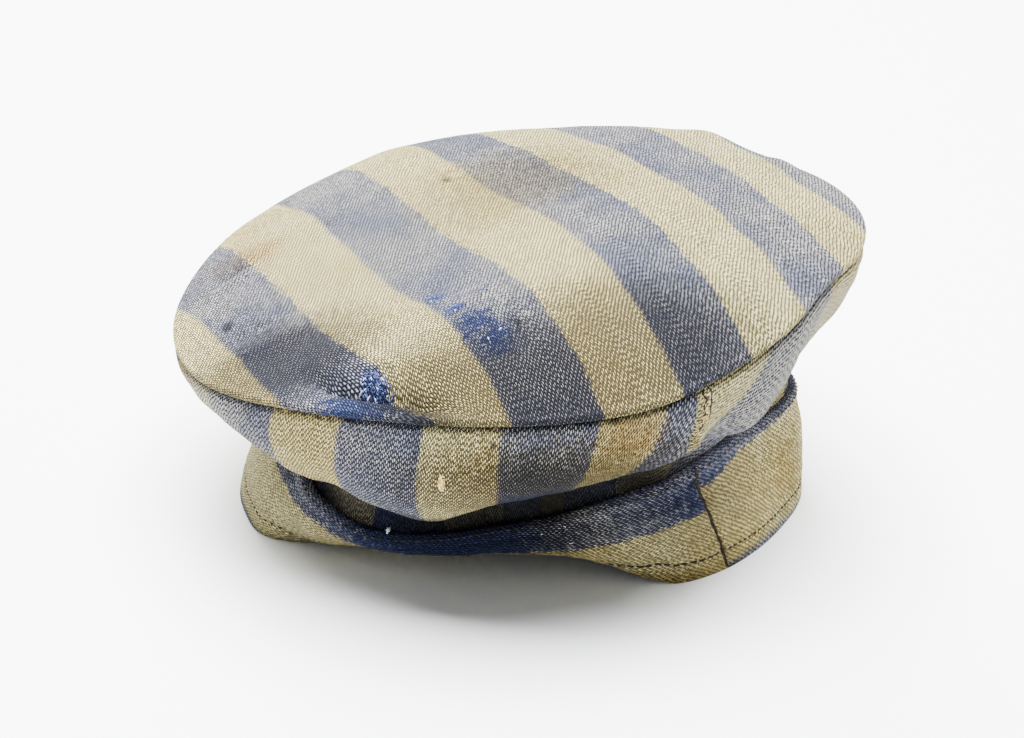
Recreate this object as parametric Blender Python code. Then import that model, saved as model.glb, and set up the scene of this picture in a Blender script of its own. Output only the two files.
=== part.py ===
"""A soft round cap of striped twill with no peak, at rest on a surface: metres, +Z up.

A round top panel is sewn to a ring panel, whose lower edge is held between the two plies of a
folded head band. Every piece is swept round the cap's upright axis. A section through a piece is
a line of cloth in (reach, height), reach being the distance from the axis, and it is given the
cloth's wall. A turn is an angle round the axis in degrees, anticlockwise seen from above: 0 is
the right side, 90 the back, 180 the left side and 270 the front.
"""

import bisect
import math
from collections import namedtuple

import bmesh
import bpy

# Driving sizes
CROWN_RADIUS = 0.125  # axis to the top seam
SEAM_HEIGHT = 0.085  # surface to the top seam at the front
CROWN_TILT = 0.020  # rise of the crown's rim at its high side over its middle
CROWN_RISE = 0.029  # puff of the top panel over the seam
SIDE_DROP = 0.050  # depth of the side panel's fall from the seam
HEM_RADIUS = 0.100  # axis to the hem
BAND_WIDTH = 0.044  # hem to the band's upper edge, along the cloth
CLOTH_WALL = 0.0012  # one layer of cloth
TUCK_DEPTH = 0.004  # side panel's edge held between the band's plies
SEAM_ROLL = 0.0028  # radius of the cloth where it rolls over into the top seam
GAP = 0.0003  # clearance between pieces

# Sizes that follow
GROOVE_HALF = CLOTH_WALL / 2 + GAP  # middle of the groove in the band to its wall
LIP = GROOVE_HALF + CLOTH_WALL  # middle of the groove to the outer face of the band's ply
NECK_DEPTH = TUCK_DEPTH + CLOTH_WALL  # the band's upper edge to the foot of its straight neck

# Fineness of the solids
SECTIONS = 96
TOP_RINGS = (0.13, 0.27, 0.41, 0.54, 0.66, 0.77, 0.86, 0.925)  # shares of the way to the roll
ROLL_ANGLES = (30, 62, 90)
SIDE_STEPS = 9
BAND_STEPS = 5
MITRE_LIMIT = 2  # a corner of a moved line goes at most this many times the distance
FLAT_HEM_LEAN = 0.5  # a hem whose cloth stands up more than this share of straight is cut level
SHARP_ANGLE = 50  # edges sharper than this, in degrees, are not smoothed

# Plain colours
TOP_COLOUR = (0.36, 0.36, 0.38)
SIDE_COLOUR = (0.42, 0.40, 0.32)
BAND_COLOUR = (0.22, 0.27, 0.42)
ROUGHNESS = 0.9

# The crown's lie
TILT_TURN = 352  # the crown's high side
BASE_HEIGHT = 0.98  # share of SEAM_HEIGHT: the seam's level at the axis
RIM_HOLD = 3  # power by which the seam's own waves fade towards the axis
RIM_CALM = 6  # power by which the dents fade out at the rim

# The top seam. reach: share of CROWN_RADIUS. height: share of SEAM_HEIGHT.
# shoulder: the higher, the flatter the top and the steeper its fall to the seam.
Seam = namedtuple("Seam", "turn reach height shoulder")
TOP_SEAM = (
    Seam(0, 1.00, 1.24, 2.6),
    Seam(30, 1.00, 1.19, 3.2),
    Seam(60, 1.00, 1.10, 4.2),
    Seam(90, 1.00, 1.02, 5.0),
    Seam(120, 1.00, 0.97, 5.6),
    Seam(150, 1.00, 0.90, 4.6),
    Seam(172, 1.01, 0.80, 3.5),
    Seam(190, 1.00, 0.775, 2.8),
    Seam(203, 0.985, 0.785, 2.5),
    Seam(215, 0.965, 0.82, 2.3),
    Seam(230, 0.945, 0.88, 2.4),
    Seam(245, 0.95, 0.935, 2.8),
    Seam(262, 0.975, 0.98, 3.2),
    Seam(280, 1.00, 1.015, 3.4),
    Seam(292, 1.00, 1.04, 3.2),
    Seam(302, 1.00, 1.105, 3.0),
    Seam(316, 0.99, 1.18, 2.8),
    Seam(330, 0.97, 1.25, 2.6),
    Seam(345, 0.99, 1.25, 2.6),
)

# Hollows and swells of the top panel. east and north: shares of CROWN_RADIUS from the axis,
# to the right and to the back. along: the long way's turn. length and breadth: shares of
# CROWN_RADIUS. rise: share of CROWN_RISE, below zero for a hollow.
Dent = namedtuple("Dent", "east north along length breadth rise")
TOP_DENTS = (
    Dent(-0.50, -0.25, 115, 0.60, 0.42, -0.28),
    Dent(0.35, -0.15, 110, 0.50, 0.30, 0.08),
    Dent(-0.32, -0.79, 324, 0.22, 0.055, -0.17),
    Dent(-0.62, -0.60, 312, 0.20, 0.07, -0.07),
    Dent(-0.35, -0.52, 320, 0.22, 0.10, 0.06),
    Dent(-0.72, 0.42, 60, 0.25, 0.13, -0.13),
    Dent(-0.84, 0.02, 40, 0.20, 0.06, -0.06),
    Dent(0.52, 0.58, 20, 0.25, 0.16, 0.06),
    Dent(0.15, 0.50, 100, 0.30, 0.10, -0.05),
    Dent(0.80, 0.20, 80, 0.25, 0.10, -0.06),
    Dent(0.02, 0.10, 130, 0.30, 0.09, -0.04),
)

# The side panel, from the top seam to the band. Shares of SIDE_DROP.
# out and drop: the pull of the cloth as it leaves the seam, outward and down.
# swing and lift: its pull as it comes to the band, outward and up.
Side = namedtuple("Side", "turn out drop swing lift")
SIDE_PANEL = (
    Side(0, -0.02, 0.36, 0.00, 0.30),
    Side(30, 0.00, 0.45, 0.00, 0.35),
    Side(60, 0.06, 0.60, 0.00, 0.40),
    Side(90, 0.08, 0.65, 0.00, 0.40),
    Side(120, 0.06, 0.60, 0.00, 0.40),
    Side(150, 0.04, 0.45, 0.05, 0.35),
    Side(180, 0.02, 0.34, 0.12, 0.25),
    Side(200, 0.02, 0.32, 0.08, 0.24),
    Side(213, 0.02, 0.55, -0.10, 0.36),
    Side(225, 0.00, 0.77, -0.20, 0.36),
    Side(240, 0.04, 1.06, -0.24, 0.38),
    Side(252, 0.08, 1.20, -0.26, 0.46),
    Side(262, 0.08, 1.15, -0.26, 0.54),
    Side(275, 0.10, 1.02, -0.22, 0.62),
    Side(292, 0.08, 0.86, -0.12, 0.54),
    Side(305, 0.06, 0.82, -0.04, 0.42),
    Side(315, 0.04, 0.76, 0.00, 0.38),
    Side(330, 0.00, 0.50, 0.00, 0.34),
    Side(345, -0.02, 0.38, 0.00, 0.32),
)

# Folds and hollows of the side panel. place: share of the way from the seam to the band.
# span: their spread round the cap, in degrees. breadth: their spread along the way, a share of
# it. rise: share of SIDE_DROP, outward, below zero for a hollow.
Fold = namedtuple("Fold", "turn place span breadth rise")
SIDE_FOLDS = (
    Fold(252, 0.52, 9, 0.16, 0.07),
    Fold(232, 0.40, 7, 0.18, -0.04),
    Fold(222, 0.45, 6, 0.18, 0.04),
    Fold(296, 0.22, 4, 0.14, 0.04),
    Fold(303, 0.35, 4, 0.18, -0.05),
    Fold(312, 0.30, 5, 0.16, 0.04),
    Fold(324, 0.45, 6, 0.20, -0.04),
    Fold(20, 0.45, 9, 0.22, -0.05),
    Fold(48, 0.40, 10, 0.22, 0.06),
    Fold(75, 0.50, 9, 0.20, -0.06),
    Fold(100, 0.42, 10, 0.22, 0.06),
    Fold(128, 0.50, 9, 0.20, -0.06),
    Fold(155, 0.40, 10, 0.22, 0.05),
    Fold(180, 0.45, 8, 0.20, -0.04),
)

# The head band, from its hem to its upper edge. hem and edge: reach, shares of HEM_RADIUS.
# lift and height: of the hem and the edge over the surface, shares of BAND_WIDTH.
# The rest are the cloth's pulls, shares of BAND_WIDTH: hem_out and hem_up as it leaves the hem,
# neck_out and neck_down as it comes to the neck, below the groove.
Band = namedtuple("Band", "turn hem lift hem_out hem_up edge height neck_out neck_down")
HEAD_BAND = (
    Band(0, 1.06, 0.00, 0.00, 0.30, 1.00, 0.98, 0.09, 0.22),
    Band(25, 1.01, 0.00, 0.00, 0.30, 0.95, 0.97, 0.05, 0.22),
    Band(60, 0.88, 0.00, 0.00, 0.30, 0.84, 0.97, 0.03, 0.22),
    Band(90, 0.84, 0.00, 0.00, 0.30, 0.80, 0.95, 0.03, 0.22),
    Band(120, 0.88, 0.00, 0.00, 0.30, 0.83, 0.90, 0.03, 0.22),
    Band(150, 0.97, 0.00, 0.00, 0.30, 0.87, 0.83, 0.07, 0.20),
    Band(175, 1.03, 0.00, -0.05, 0.30, 0.86, 0.78, 0.14, 0.16),
    Band(193, 1.02, 0.00, -0.05, 0.30, 0.82, 0.74, 0.18, 0.12),
    Band(205, 0.98, 0.00, 0.08, 0.24, 0.84, 0.68, 0.20, 0.13),
    Band(217, 0.76, 0.05, 0.36, 0.00, 0.88, 0.55, 0.14, 0.14),
    Band(232, 0.60, 0.18, 0.36, 0.00, 0.85, 0.42, 0.05, 0.09),
    Band(250, 0.60, 0.27, 0.30, 0.00, 0.80, 0.47, 0.06, 0.10),
    Band(265, 0.62, 0.31, 0.34, -0.02, 0.76, 0.535, 0.11, 0.10),
    Band(280, 0.67, 0.31, 0.34, -0.04, 0.76, 0.61, 0.15, 0.13),
    Band(292, 0.76, 0.19, 0.26, -0.02, 0.78, 0.71, 0.13, 0.17),
    Band(300, 0.86, 0.08, 0.14, 0.05, 0.82, 0.80, 0.10, 0.20),
    Band(307, 0.93, 0.00, 0.02, 0.28, 0.85, 0.86, 0.06, 0.22),
    Band(318, 0.97, 0.00, 0.00, 0.30, 0.875, 0.97, 0.04, 0.22),
    Band(330, 0.99, 0.00, 0.00, 0.30, 0.885, 1.01, 0.05, 0.22),
    Band(340, 1.01, 0.00, 0.00, 0.30, 0.92, 1.00, 0.06, 0.22),
)


def at_turn(rows, column, turn):
    """The column's value at this turn, on a smooth closed curve through the rows."""
    turns = [row.turn for row in rows]
    after = bisect.bisect_right(turns, turn % 360)
    near = [(after + k) % len(rows) for k in (-2, -1, 0, 1)]
    values = [getattr(rows[k], column) for k in near]
    steps = [(turns[near[k + 1]] - turns[near[k]]) % 360 for k in range(3)]
    share = ((turn - turns[near[1]]) % 360) / steps[1]
    slope_in = (values[2] - values[0]) / (steps[0] + steps[1]) * steps[1]
    slope_out = (values[3] - values[1]) / (steps[1] + steps[2]) * steps[1]
    change = values[2] - values[1]
    bend = slope_in + slope_out - 2 * change
    return values[1] + share * (slope_in + share * (3 * change - 2 * slope_in - slope_out + share * bend))


def curve(start, start_pull, end_pull, end, steps):
    """Points of the cubic curve that leaves start by start_pull and comes to end from end_pull."""
    ends = (
        start,
        (start[0] + start_pull[0], start[1] + start_pull[1]),
        (end[0] + end_pull[0], end[1] + end_pull[1]),
        end,
    )
    points = []
    for step in range(steps + 1):
        share = step / steps
        rest = 1 - share
        weights = (rest**3, 3 * rest**2 * share, 3 * rest * share**2, share**3)
        points.append(tuple(sum(w * p[k] for w, p in zip(weights, ends)) for k in (0, 1)))
    return points


def left_of(start, end):
    """The unit vector square to the way from start to end, on its left."""
    way = (end[0] - start[0], end[1] - start[1])
    size = math.hypot(*way)
    return (-way[1] / size, way[0] / size)


def beside(line, distance, first=None, last=None):
    """The line moved to its left by the distance. first and last: directions to move its ends in."""
    sides = [left_of(line[k], line[k + 1]) for k in range(len(line) - 1)]
    moved = []
    for k, point in enumerate(line):
        one, two = sides[max(k - 1, 0)], sides[min(k, len(sides) - 1)]
        mean = (one[0] + two[0], one[1] + two[1])
        size = max(math.hypot(*mean), 2 / MITRE_LIMIT)
        way = (2 * mean[0] / size**2, 2 * mean[1] / size**2)
        if k == 0 and first:
            way = first
        if k == len(line) - 1 and last:
            way = last
        moved.append((point[0] + way[0] * distance, point[1] + way[1] * distance))
    return moved


def seam_point(turn):
    """(reach, height) of the top seam."""
    return (
        CROWN_RADIUS * at_turn(TOP_SEAM, "reach", turn),
        SEAM_HEIGHT * at_turn(TOP_SEAM, "height", turn),
    )


def dents_at(reach, turn):
    """Height that the dents add to the top panel here."""
    east = reach * math.cos(math.radians(turn)) / CROWN_RADIUS
    north = reach * math.sin(math.radians(turn)) / CROWN_RADIUS
    total = 0
    for dent in TOP_DENTS:
        way = math.radians(dent.along)
        far_east, far_north = east - dent.east, north - dent.north
        along = (far_east * math.cos(way) + far_north * math.sin(way)) / dent.length
        across = (far_north * math.cos(way) - far_east * math.sin(way)) / dent.breadth
        total += dent.rise * CROWN_RISE * math.exp(-(along**2) - across**2)
    return total


def top_height(share, turn):
    """Height of the top panel at this share of the way from the axis to the seam's roll."""
    reach, seam = seam_point(turn)
    base = SEAM_HEIGHT * BASE_HEIGHT
    tilt = CROWN_TILT * math.cos(math.radians(turn - TILT_TURN))
    wave = seam - base - tilt
    puff = CROWN_RISE * (1 - share ** at_turn(TOP_SEAM, "shoulder", turn))
    rim = 1 - share**RIM_CALM
    level = base + tilt * share + wave * share**RIM_HOLD
    return level + GAP / 2 + SEAM_ROLL + puff + dents_at(reach * share, turn) * rim


def top_line(turn):
    """The top panel's upper face, from the axis to the top seam."""
    reach, seam = seam_point(turn)
    inner = reach - SEAM_ROLL
    line = [(inner * share, top_height(share, turn)) for share in (0,) + TOP_RINGS]
    for angle in ROLL_ANGLES:
        way = math.radians(angle)
        line.append((inner + SEAM_ROLL * math.sin(way), seam + GAP / 2 + SEAM_ROLL * math.cos(way)))
    return line


def band_line(turn):
    """The middle of the head band's cloth: from the hem to the neck below its groove, and its edge."""
    values = {name: at_turn(HEAD_BAND, name, turn) for name in Band._fields[1:]}
    hem = (HEM_RADIUS * values["hem"], BAND_WIDTH * max(values["lift"], 0))
    edge = (HEM_RADIUS * values["edge"], BAND_WIDTH * values["height"])
    hem_pull = (BAND_WIDTH * values["hem_out"], BAND_WIDTH * values["hem_up"])
    neck_pull = (BAND_WIDTH * values["neck_out"], -BAND_WIDTH * values["neck_down"])
    pull = math.hypot(*neck_pull)
    neck = tuple(edge[k] + neck_pull[k] / pull * NECK_DEPTH for k in (0, 1))
    return curve(hem, hem_pull, neck_pull, neck, BAND_STEPS) + [edge]


def top_section(turn):
    """Closed section of the top panel, but for its two points on the axis."""
    outer = top_line(turn)
    inner = beside(outer, -CLOTH_WALL, first=(0, 1), last=(1, 0))
    return outer + inner[::-1]


def folds_at(share, turn):
    """How far out the folds push the side panel at this share of its way to the band."""
    total = 0
    for fold in SIDE_FOLDS:
        round_way = ((turn - fold.turn + 180) % 360 - 180) / fold.span
        down_way = (share - fold.place) / fold.breadth
        total += fold.rise * SIDE_DROP * math.exp(-(round_way**2) - down_way**2)
    return total


def side_section(turn):
    """Closed section of the side panel, from the top seam to its edge inside the band."""
    reach, seam = seam_point(turn)
    middle = band_line(turn)
    out = left_of(middle[-1], middle[-2])
    up = (-out[1], out[0])
    foot = tuple(middle[-1][k] - up[k] * (TUCK_DEPTH - GAP) for k in (0, 1))
    mouth = tuple(middle[-1][k] + up[k] * CLOTH_WALL for k in (0, 1))
    pulls = {name: SIDE_DROP * at_turn(SIDE_PANEL, name, turn) for name in Side._fields[1:]}
    middle_line = curve(
        (reach - CLOTH_WALL / 2, seam - GAP / 2),
        (pulls["out"], -pulls["drop"]),
        (pulls["swing"], pulls["lift"]),
        mouth,
        SIDE_STEPS,
    )
    outward = beside(middle_line, 1)
    for step in range(1, SIDE_STEPS):
        push = folds_at(step / SIDE_STEPS, turn)
        middle_line[step] = tuple(
            here + (there - here) * push for here, there in zip(middle_line[step], outward[step])
        )
    middle_line.append(foot)
    outer = beside(middle_line, CLOTH_WALL / 2, first=(1, 0))
    inner = beside(middle_line, -CLOTH_WALL / 2, first=(1, 0))
    return outer + inner[::-1]


def band_section(turn):
    """Closed section of the head band: its outer ply, the groove for the side panel, its inner ply."""
    middle = band_line(turn)
    edge = middle[-1]
    out = left_of(edge, middle[-2])
    up = (-out[1], out[0])

    def near_edge(outward, below):
        return tuple(edge[k] + out[k] * outward - up[k] * below for k in (0, 1))

    lean = left_of(middle[1], middle[0])
    flat = (1, 0) if lean[0] > FLAT_HEM_LEAN else lean
    outer = beside(middle[:-1], -CLOTH_WALL, first=(-flat[0], -flat[1]))
    inner = beside(middle[:-1], CLOTH_WALL, first=(-flat[0], -flat[1]))
    outer[-1] = near_edge(LIP, NECK_DEPTH)
    inner[-1] = near_edge(-LIP, NECK_DEPTH)
    top = [
        near_edge(LIP, 0),
        near_edge(GROOVE_HALF, 0),
        near_edge(GROOVE_HALF, TUCK_DEPTH),
        near_edge(-GROOVE_HALF, TUCK_DEPTH),
        near_edge(-GROOVE_HALF, 0),
        near_edge(-LIP, 0),
    ]
    return [(reach, max(height, 0)) for reach, height in outer + top + inner[::-1]]


def swept(name, section, colour, axis_points=()):
    """A closed body from a section that changes with the turn.

    axis_points: the places in the section that lie on the axis, each made one point.
    """
    mesh = bmesh.new()
    rings = []
    on_axis = {}
    for step in range(SECTIONS):
        turn = 360 * step / SECTIONS
        way = math.radians(turn)
        ring = []
        for place, (reach, height) in enumerate(section(turn)):
            if place in axis_points and place in on_axis:
                ring.append(on_axis[place])
                continue
            vert = mesh.verts.new((reach * math.cos(way), reach * math.sin(way), height))
            ring.append(vert)
            if place in axis_points:
                on_axis[place] = vert
        rings.append(ring)
    places = len(rings[0])
    for step in range(SECTIONS):
        here, there = rings[step], rings[(step + 1) % SECTIONS]
        for place in range(places):
            after = (place + 1) % places
            if place in axis_points and after in axis_points:
                continue
            corners = [here[place], there[place], there[after], here[after]]
            mesh.faces.new(list(dict.fromkeys(corners)))
    bmesh.ops.triangulate(mesh, faces=mesh.faces)
    bmesh.ops.recalc_face_normals(mesh, faces=mesh.faces)
    data = bpy.data.meshes.new(name)
    mesh.to_mesh(data)
    mesh.free()
    data.shade_smooth()
    data.set_sharp_from_angle(angle=math.radians(SHARP_ANGLE))
    piece = bpy.data.objects.new(name, data)
    bpy.context.scene.collection.objects.link(piece)
    data.materials.append(cloth(name + "_cloth", colour))
    return piece


def cloth(name, colour):
    material = bpy.data.materials.new(name)
    material.use_nodes = True
    shader = material.node_tree.nodes["Principled BSDF"]
    shader.inputs["Base Color"].default_value = (*colour, 1)
    shader.inputs["Roughness"].default_value = ROUGHNESS
    shader.inputs["Metallic"].default_value = 0
    return material


def centre(pieces):
    """Moves the pieces so that the axis of their common box is the frame's axis."""
    corners = [vert.co for piece in pieces for vert in piece.data.vertices]
    shift = [-(min(c[k] for c in corners) + max(c[k] for c in corners)) / 2 for k in (0, 1)]
    for piece in pieces:
        for vert in piece.data.vertices:
            vert.co.x += shift[0]
            vert.co.y += shift[1]


def main():
    for old in list(bpy.data.objects):
        bpy.data.objects.remove(old)
    last = len(top_line(0)) * 2 - 1
    pieces = [
        swept("crown_top", top_section, TOP_COLOUR, axis_points=(0, last)),
        swept("crown_side", side_section, SIDE_COLOUR),
        swept("head_band", band_section, BAND_COLOUR),
    ]
    centre(pieces)


main()
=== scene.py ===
"""The looks of a worn soft cap of striped twill, made round its solids: metres, +Z up.

Each cloth piece is swept round the cap's upright axis from the same tables as its solid, more
finely, with creases, puckers and sewn lines, and carries its place on the flat cloth, across and
along the woven stripes, in its UV map. A turn is an angle round the axis in degrees,
anticlockwise seen from above: 0 is the right side, 90 the back, 180 the left and 270 the front.
"""

import bisect
import math
import random
from collections import namedtuple

import bpy
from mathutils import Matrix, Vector, noise


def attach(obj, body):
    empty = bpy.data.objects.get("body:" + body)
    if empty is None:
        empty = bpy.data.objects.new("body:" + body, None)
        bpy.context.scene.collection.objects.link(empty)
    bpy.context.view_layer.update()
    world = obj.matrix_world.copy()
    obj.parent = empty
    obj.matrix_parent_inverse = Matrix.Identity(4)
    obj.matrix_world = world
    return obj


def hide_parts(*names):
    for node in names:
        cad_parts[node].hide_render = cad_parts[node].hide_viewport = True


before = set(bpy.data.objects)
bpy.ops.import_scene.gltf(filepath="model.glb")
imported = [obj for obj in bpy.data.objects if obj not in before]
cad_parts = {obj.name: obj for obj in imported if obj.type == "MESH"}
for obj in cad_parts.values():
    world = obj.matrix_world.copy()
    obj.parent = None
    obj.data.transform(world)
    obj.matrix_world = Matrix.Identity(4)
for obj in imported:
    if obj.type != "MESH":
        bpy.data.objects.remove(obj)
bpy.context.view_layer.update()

# Driving sizes
CROWN_RADIUS = 0.125  # axis to the top seam
SEAM_HEIGHT = 0.085  # surface to the top seam at the front
CROWN_TILT = 0.020  # rise of the crown's rim at its high side over its middle
CROWN_RISE = 0.029  # puff of the top panel over the seam
SIDE_DROP = 0.050  # depth of the side panel's fall from the seam
HEM_RADIUS = 0.100  # axis to the hem
BAND_WIDTH = 0.044  # hem to the band's upper edge, along the cloth
CLOTH_WALL = 0.0012  # one layer of cloth
TUCK_DEPTH = 0.004  # side panel's edge held between the band's plies
SEAM_ROLL = 0.0028  # the top panel's height over the seam where it rolls over
GAP = 0.0003  # clearance between pieces

# Sizes that follow
GROOVE_HALF = CLOTH_WALL / 2 + GAP  # middle of the groove in the band to its wall
LIP = GROOVE_HALF + CLOTH_WALL  # middle of the groove to the outer face of the band's ply
NECK_DEPTH = TUCK_DEPTH + CLOTH_WALL  # the band's upper edge to the foot of its straight neck

AXIS = (0.00046, -0.00058)  # where the cap's upright axis stands

# Fineness of the cloth
TURN_STEP = 0.75  # degrees between sections
SEWN_STEP = 0.15  # the same close to a sewn line
SEWN_SPAN = 2.4  # how far to each side of a sewn line that goes, in degrees
TOP_STEPS = 76
ROLL_STEPS = 9
SIDE_STEPS = 46
FINER = 3  # fine steps to each of the side panel's steps while its relief is added
CLOSE_STEPS = 14  # fine steps that stay, below the top seam
BAND_STEPS = 30
INNER_THINNING = 3  # one point of the inner face to this many of the outer
MITRE_LIMIT = 2  # a corner of a moved line goes at most this many times the distance
FLAT_HEM_LEAN = 0.5  # a hem whose cloth stands up more than this share of straight is cut level
SHARP_ANGLE = 60  # degrees between two faces from which the edge between them stays sharp

# The crown's lie
TILT_TURN = 352  # the crown's high side
BASE_HEIGHT = 0.98  # share of SEAM_HEIGHT: the seam's level at the axis
RIM_HOLD = 3  # power by which the seam's own waves fade towards the axis
RIM_CALM = 6  # power by which the dents fade out at the rim
CREASE_CALM = 26  # and the creases, which run closer to it
CREASE_POWER = 1.5  # below 2: a crease has a sharp middle


def table(text):
    """Rows of values from lines of text, the first of which names the columns."""
    columns, *lines = text.strip().splitlines()
    row = namedtuple("row", columns)
    return [row(*(v if v.isalpha() else float(v) for v in line.split())) for line in lines]


# The top seam. reach: share of CROWN_RADIUS. height: share of SEAM_HEIGHT.
# shoulder: the higher, the flatter the top and the steeper its fall to the seam.
TOP_SEAM = table("""
turn reach height shoulder
0 1 1.24 2.6
30 1 1.19 3.2
60 1 1.1 4.2
90 1 1.02 5
120 1 0.97 5.6
150 1 0.9 4.6
172 1.01 0.8 3.5
190 1 0.775 2.8
203 0.985 0.785 2.5
215 0.965 0.82 2.3
230 0.945 0.88 2.4
245 0.95 0.935 2.8
262 0.975 0.98 3.2
280 1 1.015 3.4
292 1 1.04 3.2
302 1 1.105 3
316 0.99 1.18 2.8
330 0.97 1.25 2.6
345 0.99 1.25 2.6
""")

# Hollows and swells of the top panel. east and north: shares of CROWN_RADIUS from the axis,
# to the right and to the back. along: the long way's turn. length and breadth: shares of
# CROWN_RADIUS. rise: share of CROWN_RISE, below zero for a hollow.
TOP_DENTS = table("""
east north along length breadth rise
-0.5 -0.25 115 0.6 0.42 -0.28
0.35 -0.15 110 0.5 0.3 0.08
-0.32 -0.79 324 0.22 0.055 -0.17
-0.62 -0.6 312 0.2 0.07 -0.07
-0.35 -0.52 320 0.22 0.1 0.06
-0.72 0.42 60 0.25 0.13 -0.13
-0.84 0.02 40 0.2 0.06 -0.06
0.52 0.58 20 0.25 0.16 0.06
0.15 0.5 100 0.3 0.1 -0.05
0.8 0.2 80 0.25 0.1 -0.06
0.02 0.1 130 0.3 0.09 -0.04
""")

# The side panel, from the top seam to the band. Shares of SIDE_DROP.
# out and drop: the pull of the cloth as it leaves the seam, outward and down.
# swing and lift: its pull as it comes to the band, outward and up.
SIDE_PANEL = table("""
turn out drop swing lift
0 -0.02 0.36 0 0.3
30 0 0.45 0 0.35
60 0.06 0.6 0 0.4
90 0.08 0.65 0 0.4
120 0.06 0.6 0 0.4
150 0.04 0.45 0.05 0.35
180 0.02 0.34 0.12 0.25
200 0.02 0.32 0.08 0.24
213 0.02 0.55 -0.1 0.36
225 0 0.77 -0.2 0.36
240 0.04 1.06 -0.24 0.38
252 0.08 1.2 -0.26 0.46
262 0.08 1.15 -0.26 0.54
275 0.1 1.02 -0.22 0.62
292 0.08 0.86 -0.12 0.54
305 0.06 0.82 -0.04 0.42
315 0.04 0.76 0 0.38
330 0 0.5 0 0.34
345 -0.02 0.38 0 0.32
""")

# Folds and hollows of the side panel. place: share of the way from the seam to the band.
# span: their spread round the cap, in degrees. breadth: their spread along the way, a share of
# it. rise: share of SIDE_DROP, outward, below zero for a hollow.
SIDE_FOLDS = table("""
turn place span breadth rise
252 0.52 9 0.16 0.07
232 0.4 7 0.18 -0.04
222 0.45 6 0.18 0.04
296 0.22 4 0.14 0.04
303 0.35 4 0.18 -0.05
312 0.3 5 0.16 0.04
324 0.45 6 0.2 -0.04
20 0.45 9 0.22 -0.05
48 0.4 10 0.22 0.06
75 0.5 9 0.2 -0.06
100 0.42 10 0.22 0.06
128 0.5 9 0.2 -0.06
155 0.4 10 0.22 0.05
180 0.45 8 0.2 -0.04
""")

# The head band, from its hem to its upper edge. hem and edge: reach, shares of HEM_RADIUS.
# lift and height: of the hem and the edge over the surface, shares of BAND_WIDTH.
# The rest are the cloth's pulls, shares of BAND_WIDTH: hem_out and hem_up as it leaves the hem,
# neck_out and neck_down as it comes to the neck, below the groove.
HEAD_BAND = table("""
turn hem lift hem_out hem_up edge height neck_out neck_down
0 1.06 0 0 0.3 1 0.98 0.09 0.22
25 1.01 0 0 0.3 0.95 0.97 0.05 0.22
60 0.88 0 0 0.3 0.84 0.97 0.03 0.22
90 0.84 0 0 0.3 0.8 0.95 0.03 0.22
120 0.88 0 0 0.3 0.83 0.9 0.03 0.22
150 0.97 0 0 0.3 0.87 0.83 0.07 0.2
175 1.03 0 -0.05 0.3 0.86 0.78 0.14 0.16
193 1.02 0 -0.05 0.3 0.82 0.74 0.18 0.12
205 0.98 0 0.08 0.24 0.84 0.68 0.2 0.13
217 0.76 0.05 0.36 0 0.88 0.55 0.14 0.14
232 0.6 0.18 0.36 0 0.85 0.42 0.05 0.09
250 0.6 0.27 0.3 0 0.8 0.47 0.06 0.1
265 0.62 0.31 0.34 -0.02 0.76 0.535 0.11 0.1
280 0.67 0.31 0.34 -0.04 0.76 0.61 0.15 0.13
292 0.76 0.19 0.26 -0.02 0.78 0.71 0.13 0.17
300 0.86 0.08 0.14 0.05 0.82 0.8 0.1 0.2
307 0.93 0 0.02 0.28 0.85 0.86 0.06 0.22
318 0.97 0 0 0.3 0.875 0.97 0.04 0.22
330 0.99 0 0 0.3 0.885 1.01 0.05 0.22
340 1.01 0 0 0.3 0.92 1 0.06 0.22
""")

# Creases of the top panel, in metres from the axis. east and north: the middle. along: the way
# it runs, in degrees. length and breadth: how far it spreads. rise: below zero for a valley.
TOP_CREASES = table("""
east north along length breadth rise
-0.04 -0.104 324 0.026 0.003 -0.01
-0.058 -0.091 314 0.014 0.0028 -0.004
-0.034 -0.114 328 0.028 0.005 0.0012
-0.033 -0.093 330 0.022 0.007 0.0016
-0.101 0.014 35 0.016 0.0022 -0.0016
-0.1035 0.007 35 0.018 0.0032 0.0012
-0.09 -0.035 20 0.024 0.006 -0.0014
-0.096 -0.05 15 0.02 0.006 0.001
0.05 0.025 100 0.04 0.009 -0.0014
0.015 -0.02 150 0.045 0.011 0.0012
0.005 -0.075 10 0.035 0.01 0.0014
0.07 -0.045 60 0.03 0.008 -0.001
0.075 0.08 130 0.014 0.008 0.003
0.102 0.045 110 0.012 0.007 0.0026
-0.03 0.04 10 0.03 0.012 0.001
""")

# Slack of the worn cloth: the size of its waves, and how far they go up or down
TOP_SLACK = (0.034, 0.0010)
SIDE_SLACK = (0.022, 0.0010)
BAND_SLACK = (0.016, 0.0005)
SLACK_WAVES = (0.8, 2.2, 3)  # how fast finer waves die out, how much finer each is, how many
SIDE_EASE = 0.15  # share of the side panel over which slack and sewn lines fade out at its ends
HEM_EASE = 0.06  # share of the band over which its relief fades out at the hem

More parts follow.
